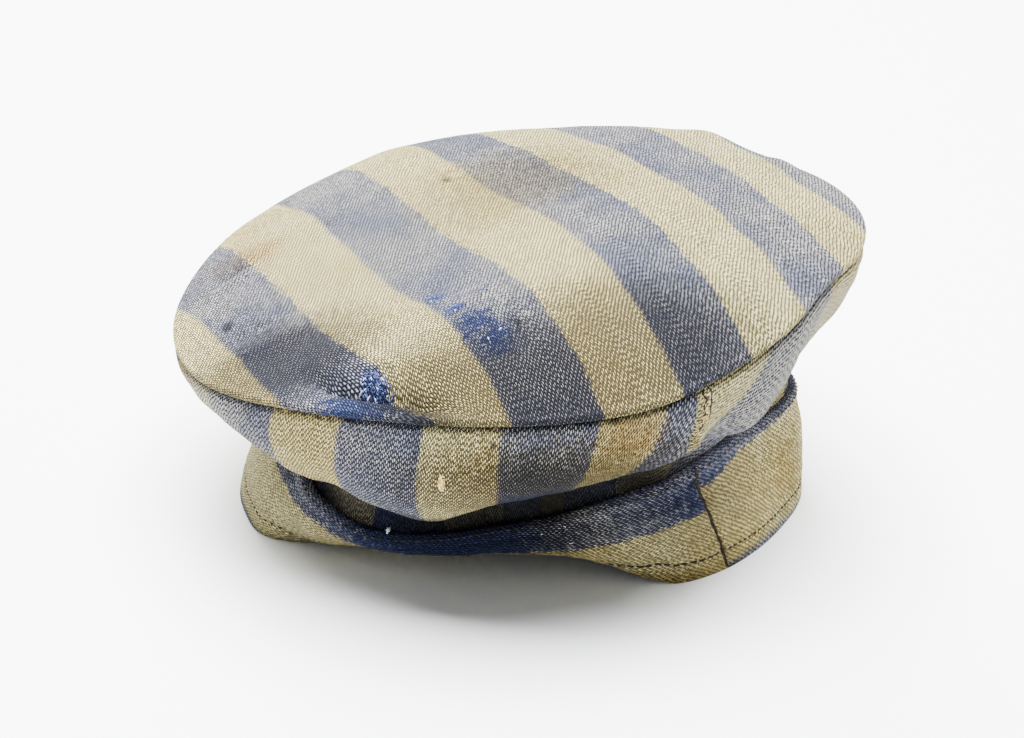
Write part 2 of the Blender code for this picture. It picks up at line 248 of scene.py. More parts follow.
# Lines down a panel: the turn at its upper edge and at its lower edge
Line = namedtuple("Line", "top foot")
SIDE_JOINS = (Line(298, 295.5), Line(118, 115.5))
BAND_JOIN = Line(313.5, 319.5)
JOIN_DEPTH = 0.0018
JOIN_HALF = 0.0007  # half the breadth of the groove at a sewn line
PUCKER_DEPTH = 0.00054
PUCKER_REACH = 0.006  # how far from a sewn line its puckers go
PUCKER_BEAT = 47  # how fast they follow each other down it, in radians
PUCKER_SHIFT = 17  # and how fast their spacing changes
PLEAT_PAST = 0.0036  # from the side panel's join to the raised pleat right of it
PLEAT_HALF = 0.0010
PLEAT_RISE = 0.0013
PLEAT_END = 0.8  # share of the way down at which it ends
PLEAT_FADE = 0.2  # and the share before that over which it fades
PLEAT_BEAT = 90  # its ragged height goes up and down this fast, in radians
PLEAT_RAGGED = 0.25  # and this far

# Drawn folds that slant down right of the join
DRAWN_TURN = 325  # their middle
DRAWN_SPAN = 22
DRAWN_RISE = 0.0011
DRAWN_WAVES = ((1, 2.4, 42), (0.5, 5.52, 31))  # strength, waves down the panel, degrees of a wave

# The roll of the top panel's edge, and the edge of the side panel that turns in below it
CURL_RADIUS = 0.0015
CURL = 150  # degrees that the top panel's edge is rolled in
SEAM_TUCK = 0.0018  # how far the side panel's edge turns in
TUCK_SPAN = 0.0022  # and over how much of its height
TIGHT_SEAM = 318  # the turn where the seam pulls the cloth in twice as far
TIGHT_SPAN = 24

# The woven stripes
STRIPE = 0.0273  # breadth of one stripe
STRIPE_TURN = 24  # the way across the stripes of the top panel, in degrees
STRIPE_DRIFT = 0.007  # how far the stripes drift to the left from the front to the back
STRIPE_SPREAD = 0.12  # and how much more of that to the right of the middle
TOP_START = 0.002  # across the cloth of the top, where a blue stripe starts
CLOTH_SHARE = 1.2  # length of the side panel's cloth, in SIDE_DROP
RIGHT_SLANT = 52  # how far the side panel right of its join is cut off the straight, in degrees
RIGHT_START = 0.0333  # how far across the stripes it starts
RIGHT_ALONG = -0.5  # and how far along them: well clear of 0, where painted shade darkens the sewn edge

# Where the darn and the crease at the front shift a stripe's bound to the right, and how far
STRIPE_PULLS = table("""
east north breadth length shift
-0.046 -0.09 0.013 0.016 0.0036
-0.031 -0.1185 0.014 0.0055 0.0075
""")

# The stripes' bounds on the side panel, first those that the photograph doesn't show
HIDDEN_COUNT = 24
HIDDEN_STEP = 15.5
SHOWN_STRIPES = table("""
top foot
176 174
192 189
208 204
225 221
240 235
255 253
267 268
282 279
292.5 284
312 302
""")
SIDE_STRIPES = [
    Line(*(turn - HIDDEN_STEP * k for turn in SHOWN_STRIPES[0]))
    for k in range(HIDDEN_COUNT, 0, -1)
] + SHOWN_STRIPES

# The stripe along the band's upper edge, left and right of its join: its breadth, and how far
# below the edge the next one ends
BAND_FIRSTS = table("""
turn breadth last
204 0.0106 0.0379
222 0.0076 0.0349
240 0.009 0.0363
271 0.0119 0.0392
289 0.0144 0.0417
311 0.017 0.0443
319 0.0195 0.0468
320 0.0093 0.0418
333 0.0052 0.0418
359 0.0016 0.0418
420 0.0016 0.0418
493 0.0106 0.0379
""")

# Lines pressed in or raised along the band: from the hem, or below zero from the upper edge,
# then half the breadth, and how far out
HEM_STITCH = 0.0072  # from the hem to its stitched line
WELT = 0.0032  # breadth of the turned upper edge of the band, to its stitched line
BAND_RIDGES = (
    (HEM_STITCH, 0.0008, -0.0007),
    (-WELT, 0.0010, -0.0016),
    (-WELT * 0.45, 0.0011, 0.0010),
)

# The band's upper edge, over its groove from the outer face to the inner one: how far out from
# the groove's middle, how far below the edge, and the place on the cloth, past the edge
BAND_MOUTH = (
    (LIP + 0.0006, NECK_DEPTH * 0.6, -NECK_DEPTH * 0.6),
    (LIP + 0.0003, NECK_DEPTH * 0.2, -NECK_DEPTH * 0.2),
    (GROOVE_HALF, 0, LIP - GROOVE_HALF),
    (GROOVE_HALF, TUCK_DEPTH, TUCK_DEPTH),
    (-GROOVE_HALF, TUCK_DEPTH, TUCK_DEPTH),
    (-GROOVE_HALF, 0, LIP - GROOVE_HALF),
    (-LIP, 0, 0.0),
)


def at_turn(rows, column, turn):
    """The column's value at this turn, on a smooth closed curve through the rows."""
    turns = [row.turn for row in rows]
    after = bisect.bisect_right(turns, turn % 360)
    near = [(after + k) % len(rows) for k in (-2, -1, 0, 1)]
    values = [getattr(rows[k], column) for k in near]
    steps = [(turns[near[k + 1]] - turns[near[k]]) % 360 for k in range(3)]
    share = ((turn - turns[near[1]]) % 360) / steps[1]
    slope_in = (values[2] - values[0]) / (steps[0] + steps[1]) * steps[1]
    slope_out = (values[3] - values[1]) / (steps[1] + steps[2]) * steps[1]
    change = values[2] - values[1]
    pull = 3 * change - 2 * slope_in - slope_out
    bend = slope_in + slope_out - 2 * change
    return values[1] + share * (slope_in + share * (pull + share * bend))


def shares(steps):
    """The shares of a way at the ends of its even steps, from 0 to 1."""
    return [step / steps for step in range(steps + 1)]


def moved(point, way, far=1):
    """The point moved along a way, this many times as far."""
    return point[0] + way[0] * far, point[1] + way[1] * far


def curve(start, start_pull, end_pull, end, steps):
    """Points of the cubic curve that leaves start by start_pull and comes to end from end_pull."""
    ends = (start, moved(start, start_pull), moved(end, end_pull), end)
    points = []
    for share in shares(steps):
        rest = 1 - share
        weights = (rest**3, 3 * rest**2 * share, 3 * rest * share**2, share**3)
        points.append(tuple(sum(w * p[k] for w, p in zip(weights, ends)) for k in (0, 1)))
    return points


def left_of(start, end):
    """The unit vector square to the way from start to end, on its left."""
    way = (end[0] - start[0], end[1] - start[1])
    size = math.hypot(*way)
    return (-way[1] / size, way[0] / size)


def beside(line, distance, first=None):
    """The line moved to its left by the distance. first: the way to move its start in."""
    sides = [left_of(*ends) for ends in zip(line, line[1:])]
    result = []
    for point, one, two in zip(line, sides[:1] + sides, sides + sides[-1:]):
        both = moved(one, two)
        size = max(math.hypot(*both), 2 / MITRE_LIMIT)
        result.append(moved(point, both, 2 * distance / size**2))
    if first:
        result[0] = moved(line[0], first, distance)
    return result


def bell(*away):
    """1 at a place and falling off smoothly round it, from how far away that is each way."""
    return math.exp(-sum(far**2 for far in away))


def place_at(reach, turn):
    """How far east and north of the axis a place at this reach and turn is."""
    way = math.radians(turn)
    return reach * math.cos(way), reach * math.sin(way)


def standing(east, north, height):
    """The place in the frame that is this far from the cap's axis, at this height."""
    return Vector((AXIS[0] + east, AXIS[1] + north, height))


def turn_between(one, two):
    """How far turn one is past turn two, from -180 to 180 degrees."""
    return (one - two + 180) % 360 - 180


def line_turn(line, share):
    """The turn of a line down a panel, at this share of its way."""
    return line.top + (line.foot - line.top) * share


def past_line(line, share, turn, reach):
    """How far past a line down a panel this turn is, along the cloth."""
    return math.radians(turn_between(turn, line_turn(line, share))) * reach


def slack(reach, turn, height, size, depth):
    """The unevenness of worn cloth here: waves of about this size, up or down by the depth."""
    place = Vector((*place_at(reach, turn), height))
    return depth * noise.fractal(place / size, *SLACK_WAVES)


def seam_point(turn):
    """(reach, height) of the top seam."""
    return (
        CROWN_RADIUS * at_turn(TOP_SEAM, "reach", turn),
        SEAM_HEIGHT * at_turn(TOP_SEAM, "height", turn),
    )


def far_from(row, east, north):
    """How far along and across a dent or crease this place is, in its lengths and breadths."""
    east, north = east - row.east, north - row.north
    way = math.radians(row.along)
    along = east * math.cos(way) + north * math.sin(way)
    across = north * math.cos(way) - east * math.sin(way)
    return along / row.length, across / row.breadth


def dents_at(reach, turn):
    """Height that the dents and the slack of the cloth add to the top panel here."""
    total = slack(reach, turn, 0, *TOP_SLACK)
    for dent in TOP_DENTS:
        away = far_from(dent, *place_at(reach / CROWN_RADIUS, turn))
        total += dent.rise * CROWN_RISE * bell(*away)
    return total


def creases_at(reach, turn):
    """Height that the creases add to the top panel here."""
    total = 0
    for crease in TOP_CREASES:
        along, across = far_from(crease, *place_at(reach, turn))
        total += crease.rise * math.exp(-(along**2) - abs(across) ** CREASE_POWER)
    return total


def top_height(share, turn):
    """Height of the top panel at this share of the way from the axis to the seam's roll."""
    reach, seam = seam_point(turn)
    base = SEAM_HEIGHT * BASE_HEIGHT
    tilt = CROWN_TILT * math.cos(math.radians(turn - TILT_TURN))
    level = base + tilt * share + (seam - base - tilt) * share**RIM_HOLD
    puff = CROWN_RISE * (1 - share ** at_turn(TOP_SEAM, "shoulder", turn))
    dents = dents_at(reach * share, turn) * (1 - share**RIM_CALM)
    creases = creases_at(reach * share, turn) * (1 - share**CREASE_CALM)
    return level + GAP / 2 + SEAM_ROLL + puff + dents + creases


def top_line(turn):
    """The top panel's upper face, from the axis to its edge rolled in at the top seam."""
    reach, seam = seam_point(turn)
    inner = reach - CURL_RADIUS
    line = [(inner * share, top_height(share, turn)) for share in shares(TOP_STEPS)[:-1]]
    middle = seam + GAP / 2 + SEAM_ROLL - CURL_RADIUS
    for share in shares(ROLL_STEPS):
        way = math.radians(CURL) * share
        line.append((inner + CURL_RADIUS * math.sin(way), middle + CURL_RADIUS * math.cos(way)))
    return line


def thinned(line):
    """The line with fewer points, its ends kept."""
    return line[:-1:INNER_THINNING] + [line[-1]]


def lengths(line):
    """How far along the line each of its points is."""
    gone = [0.0]
    for one, two in zip(line, line[1:]):
        gone.append(gone[-1] + math.dist(one, two))
    return gone


def closed(outer, inner, gone):
    """A closed section from its outer line and its inner one, and how far along each point is."""
    return outer + thinned(inner)[::-1], gone + thinned(gone)[::-1]


def top_section(turn):
    """Section of the top panel, from the axis out and back, and how far out each point is."""
    outer = top_line(turn)
    edge = outer[TOP_STEPS][0]
    roll = CURL_RADIUS * math.radians(CURL)
    gone = [edge * share for share in shares(TOP_STEPS)[:-1]]
    gone += [edge + roll * share for share in shares(ROLL_STEPS)]
    return closed(outer, beside(outer, -CLOTH_WALL, first=(0, 1)), gone)


def top_cloth(turn, gone):
    """Place on the flat cloth of the top panel: across the stripes and along them."""
    east, north = place_at(gone, turn)
    across, along = place_at(gone, turn - STRIPE_TURN)
    for pull in STRIPE_PULLS:
        away = (east - pull.east) / pull.breadth, (north - pull.north) / pull.length
        across -= pull.shift * bell(*away)
    back = (along + CROWN_RADIUS) / (2 * CROWN_RADIUS)
    return across + back * (STRIPE_DRIFT + STRIPE_SPREAD * max(across, 0)), along


def folds_at(share, turn):
    """How far out the folds push the side panel at this share of its way to the band."""
    total = 0
    for fold in SIDE_FOLDS:
        round_way = turn_between(turn, fold.turn) / fold.span
        total += fold.rise * SIDE_DROP * bell(round_way, (share - fold.place) / fold.breadth)
    return total


def sewn_at(line, share, turn, reach):
    """How far a sewn line and its puckers move the cloth here: its groove in, its puckers too."""
    away = past_line(line, share, turn, reach)
    ripple = math.sin(share * PUCKER_BEAT + math.sin(share * PUCKER_SHIFT))
    puckers = PUCKER_DEPTH * max(ripple, 0) * bell(away / PUCKER_REACH)
    return JOIN_DEPTH * bell(away / JOIN_HALF) + puckers


def pleat_at(share, turn, reach):
    """How far the pleat past the side panel's join stands out here."""
    past = past_line(SIDE_JOINS[0], share, turn, reach) - PLEAT_PAST
    ragged = 1 - PLEAT_RAGGED + PLEAT_RAGGED * math.sin(share * PLEAT_BEAT)
    fade = min(max((PLEAT_END - share) / PLEAT_FADE, 0), 1)
    return PLEAT_RISE * ragged * fade * bell(past / PLEAT_HALF)


def drawn_at(share, turn):
    """How far the drawn folds stand out here."""
    past = turn_between(turn, DRAWN_TURN)
    wave = sum(
        strength * math.sin(2 * math.pi * (count * share + past / span))
        for strength, count, span in DRAWN_WAVES
    )
    return DRAWN_RISE * wave * bell(past / DRAWN_SPAN) * math.sin(math.pi * share) ** 0.5


def tuck_at(gone, turn):
    """How far the side panel turns in to the top seam, this far below it."""
    deep = SEAM_TUCK * (1 + bell(turn_between(turn, TIGHT_SEAM) / TIGHT_SPAN))
    return deep * bell(gone / TUCK_SPAN)


def pulls_at(rows, turn, size):
    """The row of a table at this turn by its columns' names, each times the size."""
    return {name: size * at_turn(rows, name, turn) for name in rows[0]._fields[1:]}


def side_section(turn):
    """Closed section of the side panel, from the top seam to its edge inside the band."""
    reach, seam = seam_point(turn)
    neck, edge = band_line(turn)[-2:]
    out = left_of(edge, neck)
    up = (-out[1], out[0])
    pulls = pulls_at(SIDE_PANEL, turn, SIDE_DROP)
    middle = curve(
        (reach - CLOTH_WALL / 2, seam - GAP / 2),
        (pulls["out"], -pulls["drop"]),
        (pulls["swing"], pulls["lift"]),
        moved(edge, up, CLOTH_WALL),
        SIDE_STEPS * FINER,
    )
    outward, gone = beside(middle, 1), lengths(middle)
    for step, here in enumerate(middle[:-1]):
        share = step / SIDE_STEPS / FINER
        push = slack(here[0], turn, here[1], *SIDE_SLACK)
        push -= sum(sewn_at(join, share, turn, here[0]) for join in SIDE_JOINS)
        push *= min(share, 1 - share, SIDE_EASE) / SIDE_EASE
        push += folds_at(share, turn) - tuck_at(gone[step], turn)
        push += pleat_at(share, turn, here[0]) + drawn_at(share, turn)
        middle[step] = tuple(a + (b - a) * push for a, b in zip(here, outward[step]))
    foot = moved(edge, up, GAP - TUCK_DEPTH)
    middle = middle[:CLOSE_STEPS] + middle[CLOSE_STEPS + 1 :: FINER] + [foot]
    outer = beside(middle, CLOTH_WALL / 2, first=(1, 0))
    return closed(outer, beside(middle, -CLOTH_WALL / 2, first=(1, 0)), lengths(outer))


def side_cloth(turn, gone):
    """Place on the flat cloth of the side panel: across the stripes and along them."""
    join = SIDE_JOINS[0]
    share = min(gone / (CLOTH_SHARE * SIDE_DROP), 1)
    past = turn_between(turn, line_turn(join, share))
    if past < 0:
        turns = [line_turn(line, share) for line in SIDE_STRIPES]
        at = join.top + past
        k = min(max(bisect.bisect_right(turns, at) - 1, 0), len(turns) - 2)
        return STRIPE * (k + (at - turns[k]) / (turns[k + 1] - turns[k])), -gone
    arc = math.radians(past) * CROWN_RADIUS
    slant = math.radians(RIGHT_SLANT)
    across = arc * math.cos(slant) + gone * math.sin(slant)
    along = arc * math.sin(slant) - gone * math.cos(slant)
    return RIGHT_START + across, RIGHT_ALONG + along


def band_line(turn):
    """The middle of the band's cloth: from the hem to the neck below its groove, and its edge."""
    pulls = pulls_at(HEAD_BAND, turn, BAND_WIDTH)
    hem = (HEM_RADIUS * at_turn(HEAD_BAND, "hem", turn), max(pulls["lift"], 0))
    edge = (HEM_RADIUS * at_turn(HEAD_BAND, "edge", turn), pulls["height"])
    neck_pull = (pulls["neck_out"], -pulls["neck_down"])
    pull = math.hypot(*neck_pull)
    neck = moved(edge, neck_pull, NECK_DEPTH / pull)
    hem_pull = (pulls["hem_out"], pulls["hem_up"])
    return curve(hem, hem_pull, neck_pull, neck, BAND_STEPS) + [edge]


def band_relief(gone, left, turn, point):
    """How far out the band's outer ply stands, this far from its hem and from its upper edge."""
    share = gone / (gone + left)
    push = slack(point[0], turn, point[1], *BAND_SLACK)
    push -= sewn_at(BAND_JOIN, 1 - share, turn, point[0])
    for place, half, rise in BAND_RIDGES:
        push += rise * bell((gone - place if place > 0 else left + place) / half)
    return push * min(share, HEM_EASE) / HEM_EASE


def band_section(turn):
    """Closed section of the head band: its outer ply, the side panel's groove, its inner ply."""
    middle = band_line(turn)
    edge = middle[-1]
    out = left_of(edge, middle[-2])
    up = (-out[1], out[0])

    def near_edge(outward, below):
        return moved(moved(edge, out, outward), up, -below)

    lean = left_of(middle[1], middle[0])
    flat = (1, 0) if lean[0] > FLAT_HEM_LEAN else lean
    outer = beside(middle[:-1], -CLOTH_WALL, first=(-flat[0], -flat[1]))
    inner = beside(middle[:-1], CLOTH_WALL, first=(-flat[0], -flat[1]))
    gone = lengths(outer)
    left = [place - gone[-1] - NECK_DEPTH for place in gone]
    for step in range(1, BAND_STEPS):
        push = band_relief(gone[step], -left[step], turn, outer[step])
        away = left_of(outer[step + 1], outer[step - 1])
        outer[step] = moved(outer[step], away, push)
    outer[-1] = near_edge(LIP, NECK_DEPTH)
    inner[-1] = near_edge(-LIP, NECK_DEPTH)
    line = outer + [near_edge(*row[:2]) for row in BAND_MOUTH] + thinned(inner)[::-1]
    left = left + [row[2] for row in BAND_MOUTH] + thinned(left)[::-1]
    return [(reach, max(height, 0)) for reach, height in line], left


def first_stripe(turn, past_join):
    """Breadth of the stripe along the band's upper edge, and how far below it the next ends."""
    rows = [row for row in BAND_FIRSTS if (row.turn > BAND_JOIN.foot) == past_join]
    if past_join:
        turn += 360 * (turn < BAND_JOIN.top)
    for one, two in zip(rows, rows[1:]):
        if turn < two.turn:
            share = max((turn - one.turn) / (two.turn - one.turn), 0)
            return [a + (b - a) * share for a, b in zip(one[1:], two[1:])]
    return rows[-1][1:]


def band_cloth(turn, left):
    """Place on the flat cloth of the head band: across the stripes and along them."""
    down = -left
    past = turn_between(turn, line_turn(BAND_JOIN, min(down / BAND_WIDTH, 1)))
    first, last = first_stripe(turn, past >= 0)
    breadth = last - first if down > first else STRIPE
    return STRIPE * (1 + (down - first) / breadth), math.radians(turn) * HEM_RADIUS


def turns_near(joins):
    """The turns of the sections, closer together along the sewn lines."""
    turns = {round(k * TURN_STEP, 4) for k in range(round(360 / TURN_STEP))}
    for join in joins:
        low, high = min(join) - SEWN_SPAN, max(join) + SEWN_SPAN
        count = round((high - low) / SEWN_STEP)
        turns |= {round((low + k * SEWN_STEP) % 360, 4) for k in range(count)}
    return sorted(turns)


def stand(name, data):
    """A new object of this data, in the scene."""
    thing = bpy.data.objects.new(name, data)
    bpy.context.scene.collection.objects.link(thing)
    return thing


def smooth_mesh(name, verts, faces):
    """A new mesh with smooth shading."""
    data = bpy.data.meshes.new(name)
    data.from_pydata(verts, [], faces)
    data.shade_smooth()
    return data


def swept(name, section, cloth_place, joins=(), on_axis=False):
    """A closed piece from a section that changes with the turn, with its places on the flat cloth.

    on_axis: the section's first and last points lie on the axis, each made one point.
    """
    turns = turns_near(joins)
    sections = [section(turn) for turn in turns]
    places = len(sections[0][0])
    verts, index = [], []
    for turn, (points, _) in zip(turns, sections):
        row = []
        for place, (reach, height) in enumerate(points):
            if on_axis and index and place in (0, places - 1):
                row.append(index[0][place])
                continue
            row.append(len(verts))
            verts.append(standing(*place_at(reach, turn), height))
        index.append(row)
    flats = []
    for turn, (_, gone) in zip(turns + [360], sections + sections[:1]):
        flats.append([cloth_place(turn, far) for far in gone])
    faces, corners = [], []
    for step in range(len(turns)):
        here = list(zip(index[step], flats[step]))
        there = list(zip(index[(step + 1) % len(turns)], flats[step + 1]))
        for place in range(places):
            after = (place + 1) % places
            if on_axis and after == 0:
                continue
            ring = [here[place], there[place], there[after], here[after]]
            if on_axis and place == 0:
                ring.pop(0)
            if on_axis and after == places - 1:
                ring.pop(3)
            faces.append([vert for vert, _ in ring])
            corners += [flat for _, flat in ring]
    data = smooth_mesh(name, verts, faces)
    layer = data.uv_layers.new(name="cloth")
    layer.data.foreach_set("uv", [value for corner in corners for value in corner])
    data.set_sharp_from_angle(angle=math.radians(SHARP_ANGLE))
    if sum(verts[f[0]].dot(verts[f[1]].cross(verts[f[2]])) for f in faces) < 0:
        data.flip_normals()
    return stand(name, data)


# Colours and finishes


def tone(red, green, blue):
    """A colour from its three parts as a screen gives them, 0 to 255."""
    parts = [part / 255 for part in (red, green, blue)]
    return tuple(p / 12.92 if p <= 0.04045 else ((p + 0.055) / 1.055) ** 2.4 for p in parts) + (1,)


class Wiring:
    """Puts nodes into a tree and joins them: a value that is no socket is set on the input."""

    def __init__(self, tree):
        self.tree = tree

    def feed(self, socket, value):
        if isinstance(value, bpy.types.NodeSocket):
            self.tree.links.new(value, socket)
        else:
            socket.default_value = value

    def put(self, kind, inputs=(), **settings):
        node = self.tree.nodes.new(kind)
        for name, value in settings.items():
            setattr(node, name, value)
        for name, value in dict(inputs).items():
            self.feed(node.inputs[name], value)
        return node

    def sum(self, operation, *values, clamp=False):
        node = self.put("ShaderNodeMath", operation=operation, use_clamp=clamp)
        for socket, value in zip(node.inputs, values):
            self.feed(socket, value)
        return node.outputs[0]

    def vector(self, operation, *values, out="Vector"):
        node = self.put("ShaderNodeVectorMath", operation=operation)
        for socket, value in zip(node.inputs, values):
            self.feed(socket, value)
        return node.outputs[out]

    def mix(self, share, first, second, blend="MIX"):
        node = self.put("ShaderNodeMix", data_type="RGBA", blend_type=blend)
        for name, value in (("Factor_Float", share), ("A_Color", first), ("B_Color", second)):
            self.feed(next(s for s in node.inputs if s.identifier == name), value)
        return next(s for s in node.outputs if s.identifier == "Result_Color")

    def between(self, share, tones):
        return self.mix(share, tone(*tones[0]), tone(*tones[1]))

    def parts(self, vector):
        return self.put("ShaderNodeSeparateXYZ", {"Vector": vector}).outputs

    def noise(self, where, scale, detail=2.0, roughness=0.5):
        values = {"Vector": where, "Scale": scale, "Detail": detail, "Roughness": roughness}
        return self.put("ShaderNodeTexNoise", values).outputs["Fac"]

    def sway(self, where, scale, detail):
        return self.sum("SUBTRACT", self.noise(where, scale, detail), 0.5)

    def ramp(self, value, low, high):
        values = {"Value": value, "From Min": low, "From Max": high}
        node = self.put("ShaderNodeMapRange", values, interpolation_type="SMOOTHSTEP")
        return node.outputs["Result"]

    def group(self, label, **values):
        return self.put("ShaderNodeGroup", values, node_tree=GROUPS[label]).outputs

    def emboss(self, shader, height, strength, distance):
        values = {"Height": height, "Strength": strength, "Distance": distance}
        self.feed(shader.inputs["Normal"], self.put("ShaderNodeBump", values).outputs["Normal"])


# Kinds of the groups' inputs and outputs that are not single numbers
KINDS = dict.fromkeys(("Cloth", "Place", "Middle", "Reach"), "NodeSocketVector")
KINDS["Colour"] = "NodeSocketColor"


def new_group(name, inputs, outputs):
    """An empty node group with these inputs and outputs, and its wiring, inlet and outlet."""
    tree = bpy.data.node_groups.new(name, "ShaderNodeTree")
    for labels, way in ((inputs, "INPUT"), (outputs, "OUTPUT")):
        for label in labels.split():
            kind = KINDS.get(label, "NodeSocketFloat")
            tree.interface.new_socket(label, in_out=way, socket_type=kind)
    wires = Wiring(tree)
    return tree, wires, wires.put("NodeGroupInput").outputs, wires.put("NodeGroupOutput").inputs


# The weave
YARN = 0.00062  # breadth of one yarn
RUN = 0.00218  # length of a yarn's float with the gap after it
TWILL_STEP = 0.42  # how far ahead of the last yarn each yarn is, in floats
YARN_SWAY = 0.0016  # how far the yarns wander from side to side
YARN_SWELL = 0.0002  # and how uneven their breadth is
OUT_OF_STEP = 0.30  # how far a whole yarn is out of step, in floats
RAGGED_ENDS = 0.6  # and the ends of its floats
FLOAT_SHARE = 0.80  # share of the run that the float takes
ROUND_ACROSS = 1.1  # power of a float's roundness across
ROUND_ALONG = 0.5  # and along
THREAD_DULL = 0.32  # brightness of the dullest thread's crest
THREAD_CHANCE = 0.90  # and how much brighter the brightest is
BOUND_CHANCE = 0.0012  # how ragged a stripe's bound is from thread to thread
BOUND_SWAY = 0.0022  # and how far it wanders
BOUND_SOFT = 0.03  # breadth of its soft edge, in two stripes


def twill_weave():
    """Floats of a twill and the gaps between them, from the place on the cloth.

    The yarns run along the cloth's second way, each a share of a float's run ahead of the last.
    """
    inputs, outputs = "Cloth Yarn Run Step", "Height Gap Thread Chance Rib"
    tree, wires, inlet, outlet = new_group("twill weave", inputs, outputs)
    cloth = inlet["Cloth"]
    split = wires.parts(cloth)
    swell = wires.sway(cloth, 900.0, 1.0)
    across = wires.sum("MULTIPLY_ADD", wires.sway(cloth, 120.0, 2.0), YARN_SWAY, split["X"])
    across = wires.sum("MULTIPLY_ADD", swell, YARN_SWELL, across)
    yarn_way = wires.sum("DIVIDE", across, inlet["Yarn"])
    yarn = wires.sum("FLOOR", yarn_way)
    ahead = wires.sum("MULTIPLY", yarn, inlet["Step"])
    run_way = wires.sum("SUBTRACT", wires.sum("DIVIDE", split["Y"], inlet["Run"]), ahead)
    loose = wires.put("ShaderNodeTexWhiteNoise", {"W": yarn}, noise_dimensions="1D")
    run_way = wires.sum("MULTIPLY_ADD", loose.outputs["Value"], OUT_OF_STEP, run_way)
    run_way = wires.sum("MULTIPLY_ADD", swell, RAGGED_ENDS, run_way)
    thread = wires.sum("FLOOR", run_way)
    along = wires.sum("DIVIDE", wires.sum("FRACT", run_way), FLOAT_SHARE)

    def crest(share, roundness):
        wave = wires.sum("SINE", wires.sum("MULTIPLY", share, math.pi))
        return wires.sum("POWER", wires.sum("MAXIMUM", wave, 0.0), roundness)

    across_crest = crest(wires.sum("FRACT", yarn_way), ROUND_ACROSS)
    along_crest = crest(wires.sum("MINIMUM", along, 1.0), ROUND_ALONG)
    height = wires.sum("MULTIPLY", across_crest, along_crest)
    wires.feed(outlet["Height"], height)
    wires.feed(outlet["Gap"], wires.sum("SUBTRACT", 1.0, height, clamp=True))
    cell = wires.put("ShaderNodeCombineXYZ", {"X": yarn, "Y": thread}).outputs[0]
    spread = wires.put("ShaderNodeTexWhiteNoise", {"Vector": cell}, noise_dimensions="2D")
    chance = spread.outputs["Value"]
    wires.feed(outlet["Chance"], chance)
    # A thread's colour rises with its float's height: painted shade at the foot and a painted
    # highlight on the crest, times the thread's own random brightness
    bright = wires.sum("MULTIPLY_ADD", chance, THREAD_CHANCE, THREAD_DULL)
    wires.feed(outlet["Thread"], wires.sum("MULTIPLY", bright, height, clamp=True))
    every_other = wires.sum("FRACT", wires.sum("MULTIPLY", thread, 0.5))
    wires.feed(outlet["Rib"], wires.sum("MULTIPLY", every_other, 2.0))
    return tree


def woven_stripes():
    """1 on the blue stripes and 0 on the cream ones, with the threads' own ragged bounds."""
    inputs = "Cloth Start Breadth Chance"
    tree, wires, inlet, outlet = new_group("woven stripes", inputs, "Blue")
    wobble = wires.sum("MULTIPLY", wires.sum("SUBTRACT", inlet["Chance"], 0.5), BOUND_CHANCE)
    sway = wires.sway(inlet["Cloth"], 40.0, 1.0)
    wobble = wires.sum("ADD", wobble, wires.sum("MULTIPLY", sway, BOUND_SWAY))
    across = wires.parts(inlet["Cloth"])["X"]
    at = wires.sum("ADD", wires.sum("SUBTRACT", across, inlet["Start"]), wobble)
    both = wires.sum("MULTIPLY", inlet["Breadth"], 2.0)
    phase = wires.sum("FRACT", wires.sum("DIVIDE", at, both))
    rise = wires.ramp(phase, 0.0, BOUND_SOFT)
    fall = wires.ramp(phase, 0.5, 0.5 + BOUND_SOFT)
    wires.feed(outlet["Blue"], wires.sum("SUBTRACT", rise, fall, clamp=True))
    return tree


def spot_mask():
    """1 in the middle of a worn or soiled spot, fading with a ragged bound to 0."""
    inputs = "Place Middle Reach Turn Raggedness"
    tree, wires, inlet, outlet = new_group("spot", inputs, "Mask")
    away = wires.vector("SUBTRACT", inlet["Place"], inlet["Middle"])
    values = {"Vector": away, "Angle": inlet["Turn"]}
    turned = wires.put("ShaderNodeVectorRotate", values, rotation_type="Z_AXIS", invert=True)
    away = wires.vector("DIVIDE", turned.outputs[0], inlet["Reach"])
    size = wires.vector("LENGTH", away, out="Value")
    grain = wires.sum("SUBTRACT", wires.noise(inlet["Place"], 420.0, 3.0, 0.6), 0.5)
    size = wires.sum("ADD", size, wires.sum("MULTIPLY", grain, inlet["Raggedness"]))
    wires.feed(outlet["Mask"], wires.ramp(size, 1.0, 0.35))
    return tree


# The cloth's colours, each from the foot of a float, painted in shade, to its crest, painted with
# a highlight
BLUE = ((50, 52, 60), (182, 179, 174))
DEEP_BLUE = ((30, 35, 58), (132, 135, 150))
CREAM = ((124, 116, 80), (244, 232, 170))
OCHRE = ((118, 105, 60), (236, 216, 140))
BARE_BLUE = ((16, 24, 56), (64, 80, 120))
FADED = (166, 160, 138)  # the most faded patches of every stripe
PALE = (200, 197, 182)
# Painted shadow in the gaps between the floats, on cream, on blue and on bare blue
GAP_SHADOWS = {"cream": (66, 60, 42), "blue": (30, 31, 40), "bare": (16, 22, 50)}
PALE_STRENGTH = 0.65
BARE_CREAM = 0.25  # how much of a worn spot shows on the cream stripes

